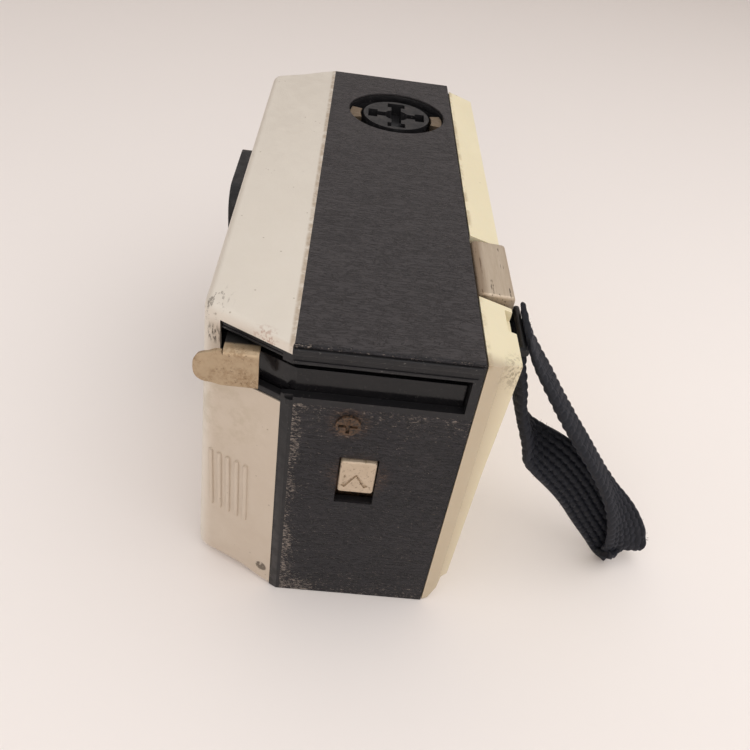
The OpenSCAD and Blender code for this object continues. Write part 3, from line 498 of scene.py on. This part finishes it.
def carve(obj, cutters):
    """Subtracts solids (lists of rings) from obj and keeps the result as its mesh."""
    tools = []
    for i, rings in enumerate(cutters):
        tool = loft("cutter", rings, obj.data.materials[0])
        tools.append(tool)
        cut = obj.modifiers.new("cut%d" % i, "BOOLEAN")
        cut.operation = "DIFFERENCE"
        cut.solver = "EXACT"
        cut.object = tool
    graph = bpy.context.evaluated_depsgraph_get()
    result = bpy.data.meshes.new_from_object(obj.evaluated_get(graph))
    obj.modifiers.clear()
    obj.data = result
    for tool in tools:
        bpy.data.objects.remove(tool)
    result.polygons.foreach_set("use_smooth", [True] * len(result.polygons))
    result.set_sharp_from_angle(angle=math.radians(38))


def join(target, others):
    for other in others:
        bm = bmesh.new()
        bm.from_mesh(target.data)
        bm.from_mesh(other.data)
        bm.to_mesh(target.data)
        bm.free()
        bpy.data.objects.remove(other)
    target.data.polygons.foreach_set("use_smooth", [True] * len(target.data.polygons))


def blend(t):
    t = min(1.0, max(0.0, t))
    return t * t * (3 - 2 * t)


# ---------- the silver front shell ----------
HX, HY, TALL = 54.0, 14.0, 60.0          # half length, half band depth, height
FACE_TOP, FACE_BASE, CHAMFER = -28.0, -30.0, 7.6
SHEET = 1.2


def bend(a, b, c, r, n):
    """Points of a rounded corner at b."""
    a, b, c = Vector(a), Vector(b), Vector(c)
    u, v = (a - b).normalized(), (c - b).normalized()
    d = r / math.tan(u.angle(v) / 2)
    p, q = b + u * d, b + v * d
    return [(1 - t) ** 2 * p + 2 * t * (1 - t) * b + t * t * q for t in (i / n for i in range(n + 1))]


def shell_plan(face_y, front_x, end_x, back_y):
    """Outline from the far seam round the front to the near seam, as evenly spaced points."""
    pts = [Vector((-end_x, back_y))]
    pts += bend((-end_x, back_y), (-front_x, face_y), (front_x, face_y), 3, 10)
    pts += bend((-front_x, face_y), (front_x, face_y), (end_x, back_y), 3, 10)
    pts += [Vector((end_x, back_y))]
    out = []
    for k, (a, b) in enumerate(zip(pts, pts[1:])):
        n = {0: 10, 11: 60, 22: 10}.get(k, 1)
        out += [a.lerp(b, i / n) for i in range(n)]
    return out + [pts[-1]]


def shell_rings(inset, z0, z1, top_r, base_r, back_y):
    """Rings up the shell; top and base edges are rounded, less so next to the leather."""
    steps = [math.pi / 2 * i / 6 for i in range(7)]
    levels = [("base", a) for a in steps[::-1]]
    levels += [(k / 12, 0.0) for k in range(1, 12)]
    levels += [("top", a) for a in steps]
    plans = [shell_plan(y + inset, HX - CHAMFER - inset * 0.5, HX - inset * 1.16, back_y)
             for y in (FACE_BASE, FACE_TOP)]
    last = len(plans[0]) - 1
    rings = []
    for part, a in levels:
        ring = []
        for i in range(last + 1):
            lo, hi = plans[0][i], plans[1][i]
            along = (plans[1][min(i + 1, last)] - plans[1][max(i - 1, 0)]).normalized()
            inward = Vector((-along.y, along.x))
            deep = blend((-HY - 1.5 - lo.y) / 8)
            r = (top_r if part == "top" else base_r) * (0.3 + 0.7 * deep)
            if part == "top":
                z = z1 - r + r * math.sin(a)
            elif part == "base":
                z = z0 + r - r * math.sin(a)
            else:
                z = z0 + 4 + (z1 - z0 - 6) * part
            at = lo.lerp(hi, z / TALL) + inward * (r - r * math.cos(a))
            ring.append((at.x, at.y, z))
        rings.append(ring)
    return rings


def chamfer_x(y, z=22.8):
    """Where the near bevel is at depth y and height z."""
    return HX - CHAMFER * (-HY - y) / (-HY - FACE_BASE - (FACE_TOP - FACE_BASE) * z / TALL)


def rib(y, low, high):
    """One rounded thumb rib on the near bevel."""
    out = Vector((14.0, -7.6)).normalized()
    along = Vector((7.6, 14.0)).normalized()
    rings = []
    n, m = 16, 9
    for i in range(n + 1):
        t = i / n
        z = low + (high - low) * (0.5 - 0.5 * math.cos(math.pi * t))
        grow = math.sqrt(max(0.0, 1 - (abs(2 * t - 1)) ** 8)) * 0.9 + 0.1
        ring = []
        for k in range(m + 1):
            a = math.pi * k / m
            w, h = 0.48 * grow * math.cos(a), 0.52 * grow * math.sin(a) ** 0.8 - 0.06
            at = Vector((chamfer_x(y, z), y)) + along * w + out * h
            ring.append((at.x, at.y, z))
        at = Vector((chamfer_x(y, z), y)) - out * 0.4
        ring += [(at.x, at.y, z)]
        rings.append(ring)
    return loft("rib", rings, MATERIALS["silver_shell"])


def front_shell():
    silver = MATERIALS["silver_shell"]
    shell = loft("front_shell_visual", shell_rings(0, 0, TALL, 1.3, 3.2, -HY), silver)
    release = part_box("release_button")
    x0, x1 = (release[0].x / MM - 0.3, release[1].x / MM + 0.3)
    carve(shell, [
        shell_rings(SHEET, SHEET, TALL - SHEET, 0.8, 2.4, -HY + 1),
        block((51.9, -HY - 1.4, -1), (60, 0, 57)), block((-60, -HY - 1.4, -1), (-51.9, 0, 58.2)),
        rod(-10.3, 29, -40, -20, 7.5), block((21, -40, 52), (34, -20, 57)),
        block((x0, -40, 20.4), (x1, -20, 40.4)), block((44, -25.3, 48), (60, -12, 58.2)),
    ])
    join(shell, [rib(-27.1 + i * 1.6, 15.6, 30) for i in range(5)])
    shell.data.set_sharp_from_angle(angle=math.radians(38))
    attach(shell, "camera")
    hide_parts("front_shell")


# ---------- the wind lever: one folded strip of nickelled sheet ----------
def advance_lever():
    x_out, z0, z1, y0, y1, fold_y = 52.5, 49.5, 56.2, -28.6, -18.9, -24.2
    fold_r, rows, flange = 0.9, 14, 5.4
    columns = [y0 + 3 * (1 - math.cos(math.pi / 2 * i / 12)) for i in range(12)]
    columns += [y0 + 3 + (fold_y - 0.25 - y0 - 3) * i / 6 for i in range(7)]
    columns += [fold_y + (y1 - fold_y) * i / 14 for i in range(15)]
    verts, faces, grid = [], [], {}

    def add(i, j, x, y, z):
        grid[i, j] = len(verts)
        verts.append((x, y, z))

    for i, y in enumerate(columns):
        round_off = 2.7 * (1 - (1 - min(1.0, max(0.0, (y0 + 2.7 - y) / 2.7)) ** 2.6) ** (1 / 2.6))
        tab = 1 - blend((y + 26.4) / 1.6)
        low = z0 + 0.55 * tab + round_off
        high = (z1 - fold_r) if y >= fold_y - 0.01 else z1 - 0.35 * tab - round_off - 0.1
        lift = 0.28 * tab - 0.16 * math.exp(-((y + 25.3) / 0.7) ** 2)
        for j in range(rows + 1):
            dish = 0.14 * tab * (2 * j / rows - 1) ** 2
            add(i, j, x_out + lift - dish, y, low + (high - low) * j / rows)
        if y >= fold_y - 0.01:
            for k in range(1, 9):
                a = math.pi / 2 * k / 8
                add(i, rows + k, x_out - fold_r + fold_r * math.cos(a), y, z1 - fold_r + fold_r * math.sin(a))
            for k in range(1, 8):
                add(i, rows + 8 + k, x_out - fold_r - flange * k / 7, y, z1)
    for i, j in list(grid):
        if (i + 1, j + 1) in grid and (i + 1, j) in grid and (i, j + 1) in grid:
            faces.append((grid[i, j], grid[i + 1, j], grid[i + 1, j + 1], grid[i, j + 1]))
    lever = mesh_object("advance_lever_visual", verts, faces, MATERIALS["nickel"])
    bm = bmesh.new()
    bm.from_mesh(lever.data)
    face = max(bm.faces, key=lambda f: f.calc_center_median().x)
    if face.normal.x < 0:
        bmesh.ops.reverse_faces(bm, faces=bm.faces)
    bm.to_mesh(lever.data)
    bm.free()
    thick = lever.modifiers.new("thick", "SOLIDIFY")
    thick.thickness = 0.6 * MM
    thick.offset = -1
    edge = lever.modifiers.new("edge", "BEVEL")
    edge.width = 0.14 * MM
    edge.segments = 3
    edge.limit_method = "ANGLE"
    edge.angle_limit = math.radians(50)
    # the arm that reaches the rack inside
    arm = [[(5 + r * math.cos(math.radians(a)), 1 + r * math.sin(math.radians(a)), z)
            for r, a in [(42.6, -30), (42.6, -27.7), (42.6, -25.4),
                         (48.6, -25.4), (48.6, -27.7), (48.6, -30)]]
           for z in (55.62, 56.18)]
    join(lever, [loft("arm", arm, MATERIALS["nickel"])])
    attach(lever, "lever")
    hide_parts("advance_lever")


# ---------- the eyepiece bezel: a folded and brushed sheet cap ----------
def eyepiece_bezel():
    low, high = (Vector(v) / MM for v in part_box("eyepiece_bezel"))
    x0, x1, y0, y1, z0, z1 = low.x, high.x, low.y + 0.05, high.y, low.z, high.z

    def profile(inset, bottom):
        foot, heel = (y0 + inset, bottom), (y1 - inset, bottom)
        crest, brow = (y0 + inset, z1 - inset), (y1 - inset, z1 - 0.3 - inset)
        pts = [foot] + [tuple(p) for p in bend(foot, crest, brow, 1.3, 8)]
        pts += [tuple(p) for p in bend(crest, brow, heel, 0.9, 8)]
        return pts + [heel]

    def rings(inset, bottom, xa, xb, r):
        out = []
        for i in range(7):
            a = math.pi / 2 * i / 6
            reach = inset + r - r * math.cos(a)
            out.append([(xa + r - r * math.sin(a), y, z) for y, z in profile(reach, bottom)])
        out.reverse()
        for k in range(1, 12):
            out.append([(xa + r + (xb - xa - 2 * r) * k / 12, y, z) for y, z in profile(inset, bottom)])
        for i in range(7):
            a = math.pi / 2 * i / 6
            reach = inset + r - r * math.cos(a)
            out.append([(xb - r + r * math.sin(a), y, z) for y, z in profile(reach, bottom)])
        return out

    cap = loft("eyepiece_bezel_visual", rings(0, z0, x0, x1, 0.45), BRUSHED)
    carve(cap, [
        rings(0.6, z0 - 1, x0 + 0.6, x1 - 0.6, 0.1),
        block((x0 + 2, 15, 51.8), (x1 - 2, 24, 57.4)),
    ])
    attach(cap, "camera")
    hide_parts("eyepiece_bezel")


# ---------- the wrist strap: one woven band, lug to tip and back ----------
# Middle of the band in mm. Part of it was solved along sight lines by a scratch script, the rest set by hand.
STRAP_W, STRAP_T = 10.0, 1.6
UPPER = [(38, 22.4, 57.4), (38, 23.3, 55), (38, 25.5, 51), (38, 29.1, 45.8), (38, 33.5, 39.5),
         (38.1, 37.6, 34), (38.3, 41.7, 28.8), (38.6, 46.1, 22.8), (39, 49.9, 17.2),
         (39.4, 53.4, 11.9), (39.8, 55.7, 7.4), (40.1, 56.3, 4.6)]
UPPER_SIDE = [(1, 0, 0)] * 7 + [(1, -0.05, 0), (0.95, -0.25, -0.05), (0.75, -0.6, -0.2),
                                (0.45, -0.8, -0.3), (0.2, -0.9, -0.34)]
TIP = [(39.9, 56, 3.9), (39.2, 56, 3.5), (38.4, 55.7, 3.7)]
LOWER = [(38, 22, 53.2), (38, 22.8, 50), (38, 24.1, 46.1), (38, 25.3, 41.1), (38, 27, 36.5), (38, 28.9, 32.5),
         (38, 31.4, 29.2), (38, 37, 25), (38, 42.6, 19.4), (38, 47.8, 12.8), (38, 52, 7.6), (38.1, 54.5, 4.4)]
LOWER_SIDE = [(1, 0, 0)] * 5 + [(1, -0.1, 0), (0.85, -0.45, -0.2), (0.5, -0.75, -0.4), (0.35, -0.85, -0.38),
                                (0.27, -0.88, -0.36), (0.22, -0.9, -0.34), (0.2, -0.9, -0.34)]


def through(points, step):
    """Evenly spaced points on a smooth curve through the given ones."""
    p = np.array(points, float)
    p = np.vstack([2 * p[0] - p[1], p, 2 * p[-1] - p[-2]])
    out = []
    for i in range(1, len(p) - 2):
        for t in np.linspace(0, 1, 24, endpoint=False):
            a, b, c, d = p[i - 1], p[i], p[i + 1], p[i + 2]
            out.append(0.5 * (2 * b + (c - a) * t + (2 * a - 5 * b + 4 * c - d) * t ** 2
                              + (3 * b - a - 3 * c + d) * t ** 3))
    out.append(p[-2])
    out = np.array(out)
    run = np.concatenate([[0], np.cumsum(np.linalg.norm(np.diff(out[:, :3], axis=0), axis=1))])
    at = np.linspace(0, run[-1], int(run[-1] / step) + 1)
    return np.stack([np.interp(at, run, out[:, k]) for k in range(out.shape[1])], axis=1), at


def unit(v):
    return v / np.linalg.norm(v, axis=-1, keepdims=True)


def beads(v, across, columns, pitch):
    """Height 0..1 of rows of round knots, every other row set half a knot along."""
    c = (across + 1) / 2 * columns
    col = np.minimum(np.floor(c), columns - 1)
    u = c - col - 0.5
    w = v / pitch + 0.5 * (col % 2)
    w = w - np.floor(w) - 0.5
    return np.sqrt(np.clip(1 - (u / 0.55) ** 2 - (w / 0.55) ** 2, 0, 1))


def wrist_strap():
    route = [tuple(p) + tuple(q) for p, q in zip(UPPER, UPPER_SIDE)]
    route += [tuple(p) + UPPER_SIDE[-1] for p in TIP]
    route += [tuple(p) + tuple(q) for p, q in zip(LOWER[::-1], LOWER_SIDE[::-1])]
    path, run = through(route, 0.2)
    centre, side = path[:, :3], path[:, 3:]
    ahead = unit(np.gradient(centre, axis=0))
    side = unit(side - (side * ahead).sum(1, keepdims=True) * ahead)
    up = np.cross(ahead, side)
    tip = float(np.linalg.norm(np.diff(np.array(UPPER), axis=0), axis=1).sum()) + 1.2
    n = 50
    across = np.linspace(-1, 1, n)
    a = across[None, :]
    v = run[:, None]
    half_t = STRAP_T / 2 * np.sqrt(np.clip(1 - np.abs(a) ** 8, 0, 1)) * 0.72
    near_tip = np.clip(1 - np.abs(v - tip) / 6.5, 0, 1)
    slim = 0.5 + 0.5 * np.clip(v / 16, 0, 1)  # pulled thin where it leaves the lug
    sheets = []
    for face in (1, -1):
        knots = beads(v + (0.8 if face < 0 else 0), a, 7, 1.9)
        slant = (v * 0.62 + a * STRAP_W * 0.42) / 1.5
        ridges = np.abs(np.sin(math.pi * slant)) ** 0.8
        outer = (v < tip - 8) & (face > 0)
        relief = np.where(outer, 0.34 * ridges + 0.10 * knots, 0.55 * knots)
        relief = relief * (1 - 0.55 * near_tip) * (1 - np.abs(a) ** 14)
        ragged = np.array([[noise.noise(Vector((x * 4.2, y * 0.9, 3.7 * face))) for x in across]
                           for y in run])
        relief = relief + 0.5 * near_tip * ragged + 0.08 * ragged
        sheets.append(centre[:, None, :] + side[:, None, :] * (a * STRAP_W / 2)[..., None]
                      + up[:, None, :] * (face * slim * (half_t + relief))[..., None])
    ring = np.concatenate([sheets[0], sheets[1][:, ::-1]], axis=1)
    ring[..., 2] = np.maximum(ring[..., 2], 0.12)
    strap = loft("wrist_strap_visual", [[tuple(p) for p in row] for row in ring], MATERIALS["webbing"])
    strap.data.set_sharp_from_angle(angle=math.radians(80))
    fuzz(centre, side, ahead, up, run, tip)
    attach(strap, "door")
    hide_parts("wrist_strap")


def fuzz(centre, side, ahead, up, run, tip):
    """Short loose fibres: many at the stitched tip, a few along both edges."""
    verts, faces = [], []
    for k in range(230):
        at_tip = k < 90
        where = tip + rng.uniform(-4.5, 4.5) if at_tip else rng.uniform(2, run[-1] - 2)
        i = int(np.clip(np.searchsorted(run, where), 1, len(run) - 2))
        edge = rng.choice((-1, 1)) * (rng.uniform(0.2, 1.0) if at_tip else 0.98)
        start = centre[i] + side[i] * edge * STRAP_W / 2 + up[i] * rng.uniform(-0.6, 0.6)
        aim = side[i] * edge * rng.uniform(0.2, 1) + ahead[i] * rng.uniform(-0.8, 0.8)
        aim = aim + up[i] * rng.uniform(-0.8, 0.8)
        aim = aim / (np.linalg.norm(aim) + 1e-9)
        long = rng.uniform(0.3, 0.9 if at_tip else 0.55)
        curl = np.array([rng.uniform(-0.3, 0.3) for _ in range(3)])
        base = len(verts)
        w = 0.045
        for j in range(4):
            t = j / 3
            p = start + aim * long * t + curl * t * t
            p[2] = max(p[2], 0.1)
            r = w * (1 - 0.8 * t)
            under = p - up[i] * r * 0.5
            verts += [tuple(p + up[i] * r), tuple(under + ahead[i] * r), tuple(under - ahead[i] * r)]
        for j in range(3):
            for q in range(3):
                b0, b1 = base + j * 3 + q, base + j * 3 + (q + 1) % 3
                faces.append((b0, b1, b1 + 3, b0 + 3))
    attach(mesh_object("strap_fibres", verts, faces, MATERIALS["webbing"]), "door")


# ---------- stepped lips round the lever slot ----------
def channel_lips():
    """Moulded ledges that run along the bevel and on across the end, above the lever slot."""
    def bar(y_from, y_to, low, high, proud, deep, tuck=0.0):
        stations = []
        if y_from < -HY:
            for y in (y_from, (y_from - HY) / 2, -HY - 0.35):
                stations.append((Vector((chamfer_x(y, 57), y)), Vector((0.879, -0.477)), proud - tuck))
            stations.append((Vector((HX, -HY)), Vector((0.96, -0.27)), proud - tuck * 0.6))
            y_from = -HY + 0.35
        for i in range(5):
            y = y_from + (y_to - y_from) * i / 4
            stations.append((Vector((HX, y)), Vector((1, 0)), proud))
        rings = []
        for at, out, reach in stations:
            soft = 0.16
            cut = soft * 0.3
            section = [(-deep, low), (reach - soft, low), (reach - cut, low + cut), (reach, low + soft)]
            section += [(reach, high - soft), (reach - cut, high - cut), (reach - soft, high), (-deep, high)]
            rings.append([(at.x + out.x * d, at.y + out.y * d, z) for d, z in section])
        return loft("channel_lips", rings, MATERIALS["black_plastic"])

    lips = bar(-HY, 13.5, 58.35, 59.42, 0.38, 0.3)
    join(lips, [
        bar(-25.1, 13.2, 56.75, 57.25, 0.22, 1.2, 0.45),
        bar(-25.1, -14.4, 57.35, 58.15, -0.25, 1.2),
        bar(-24.95, -14.4, 56.55, 56.75, -0.9, 1.2),
        bar(-25.2, -14.6, 48.0, 49.25, -0.1, 1.3),
    ])
    lips.data.set_sharp_from_angle(angle=math.radians(30))
    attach(lips, "camera")


# ---------- latch button: small nickelled block with a pressed arrow ----------
def latch_button():
    low, high = (Vector(v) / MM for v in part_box("latch_button"))
    y0, y1, z0, z1 = -5.0, 0.9, 30.3, 37.6
    x0, x1, r = low.x, 54.62, 0.35
    corners = ((y1 - 0.5, z1 - 0.5, 0), (y0 + 0.5, z1 - 0.5, 90),
               (y0 + 0.5, z0 + 0.5, 180), (y1 - 0.5, z0 + 0.5, 270))
    rings = []
    for depth, inset in [(x0, 0), (x1 - r, 0)] + [(x1 - r + r * math.sin(a), r - r * math.cos(a))
                                                for a in (math.pi / 8 * k for k in range(1, 5))]:
        ring = []
        for cy, cz, start in corners:
            for k in range(4):
                a = math.radians(start + 30 * k)
                reach = 0.5 - inset
                ring.append((depth, cy + reach * math.cos(a), cz + reach * math.sin(a)))
        rings.append(ring)
    button = loft("latch_button_visual", rings, DIRTY)
    peak = Vector((-2.2, 34.6))
    strokes = []
    for foot in (Vector((-4.3, 31.7)), Vector((-0.4, 31.8))):
        along = (foot - peak).normalized()
        side = Vector((-along.y, along.x))
        a, b = peak - along * 0.1, foot
        outline = [a + side * 0.16, b + side * 0.42, b - side * 0.42, a - side * 0.16]
        strokes.append([[(x, p.x, p.y) for p in outline] for x in (x1 - 0.34, x1 + 1)])
    carve(button, strokes)
    edge = button.modifiers.new("edge", "BEVEL")
    edge.width, edge.segments, edge.limit_method, edge.angle_limit = 0.07 * MM, 2, "ANGLE", math.radians(50)
    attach(button, "latch")
    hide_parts("latch_button")


front_shell()
channel_lips()
latch_button()
advance_lever()
eyepiece_bezel()
wrist_strap()

# ---------- stage ----------
def look_frame(origin, x_axis, y_axis, z_axis):
    m = Matrix((x_axis, y_axis, z_axis)).transposed().to_4x4()
    m.translation = origin
    return m


def add_camera():
    """Place, axes and focal length follow a scratch fit to corners of the object."""
    cam = bpy.data.objects.new("camera", bpy.data.cameras.new("camera"))
    bpy.context.scene.collection.objects.link(cam)
    cam.data.sensor_width = 36
    cam.data.lens = 37.25
    cam.data.clip_start = 0.01
    cam.matrix_world = look_frame(
        (0.13942, -0.0098, 0.12958),
        Vector((-0.01592, 0.99198, 0.12536)).normalized(),
        Vector((-0.65459, -0.10512, 0.74864)).normalized(),
        Vector((0.75581, -0.07014, 0.65102)).normalized(),
    )
    bpy.context.scene.camera = cam


def add_floor():
    """A pale sweep: flat under the camera, rising smoothly far behind it on every side."""
    bm = bmesh.new()
    rings, spokes = 40, 96
    last = None
    for i in range(rings + 1):
        r = 1.6 * i / rings
        rise = max(0.0, r - 0.9)
        z = -0.0001 + rise * rise * 1.6
        turns = [2 * math.pi * k / spokes for k in range(spokes if i else 1)]
        ring = [bm.verts.new((r * math.cos(a), r * math.sin(a), z)) for a in turns]
        if last:
            for k in range(spokes):
                if len(last) == 1:
                    bm.faces.new((last[0], ring[k], ring[(k + 1) % spokes]))
                else:
                    bm.faces.new((last[k], ring[k], ring[(k + 1) % spokes], last[(k + 1) % spokes]))
        last = ring
    mesh = bpy.data.meshes.new("floor")
    bm.to_mesh(mesh)
    bm.free()
    floor = bpy.data.objects.new("floor", mesh)
    bpy.context.scene.collection.objects.link(floor)
    s = Shader("paper", srgb(238, 229, 221), 0.9)
    # the floor is painted darker far away and a little to the left: painted shade of the light's fall-off
    away = s.math("ADD", s.math("MULTIPLY", s.axis(0), -1.0), s.math("MULTIPLY", s.axis(1), -0.2))
    shade = s.step(away, 0.0, 0.75, kind="LINEAR")
    near_tone = s.mix(s.noise(6, 3), srgb(245, 238, 234), srgb(243, 236, 232))
    s.colour(s.mix(shade, near_tone, srgb(191, 180, 172)))
    floor.data.materials.append(s.mat)
    for p in floor.data.polygons:
        p.use_smooth = True


def add_light(name, place, target, size, power, colour):
    light = bpy.data.lights.new(name, "AREA")
    light.shape = "DISK"
    light.size = size
    light.energy = power
    light.color = colour
    obj = bpy.data.objects.new(name, light)
    obj.location = place
    obj.rotation_euler = (Vector(target) - Vector(place)).to_track_quat("-Z", "Y").to_euler()
    bpy.context.scene.collection.objects.link(obj)


def add_lights():
    world = bpy.data.worlds.new("studio")
    world.use_nodes = True
    back = world.node_tree.nodes["Background"]
    back.inputs["Color"].default_value = (1.0, 0.98, 0.97, 1)
    back.inputs["Strength"].default_value = 0.80
    bpy.context.scene.world = world
    add_light("top_light", (0.10, 0.30, 0.7), (0, 0, 0.03), 0.8, 1.7, (1.0, 0.98, 0.96))
    add_light("end_light", (0.75, -0.10, 0.30), (0, 0, 0.03), 0.5, 0.9, (1.0, 0.98, 0.96))
    bpy.context.scene.view_settings.view_transform = "Standard"


add_camera()
add_floor()
add_lights()
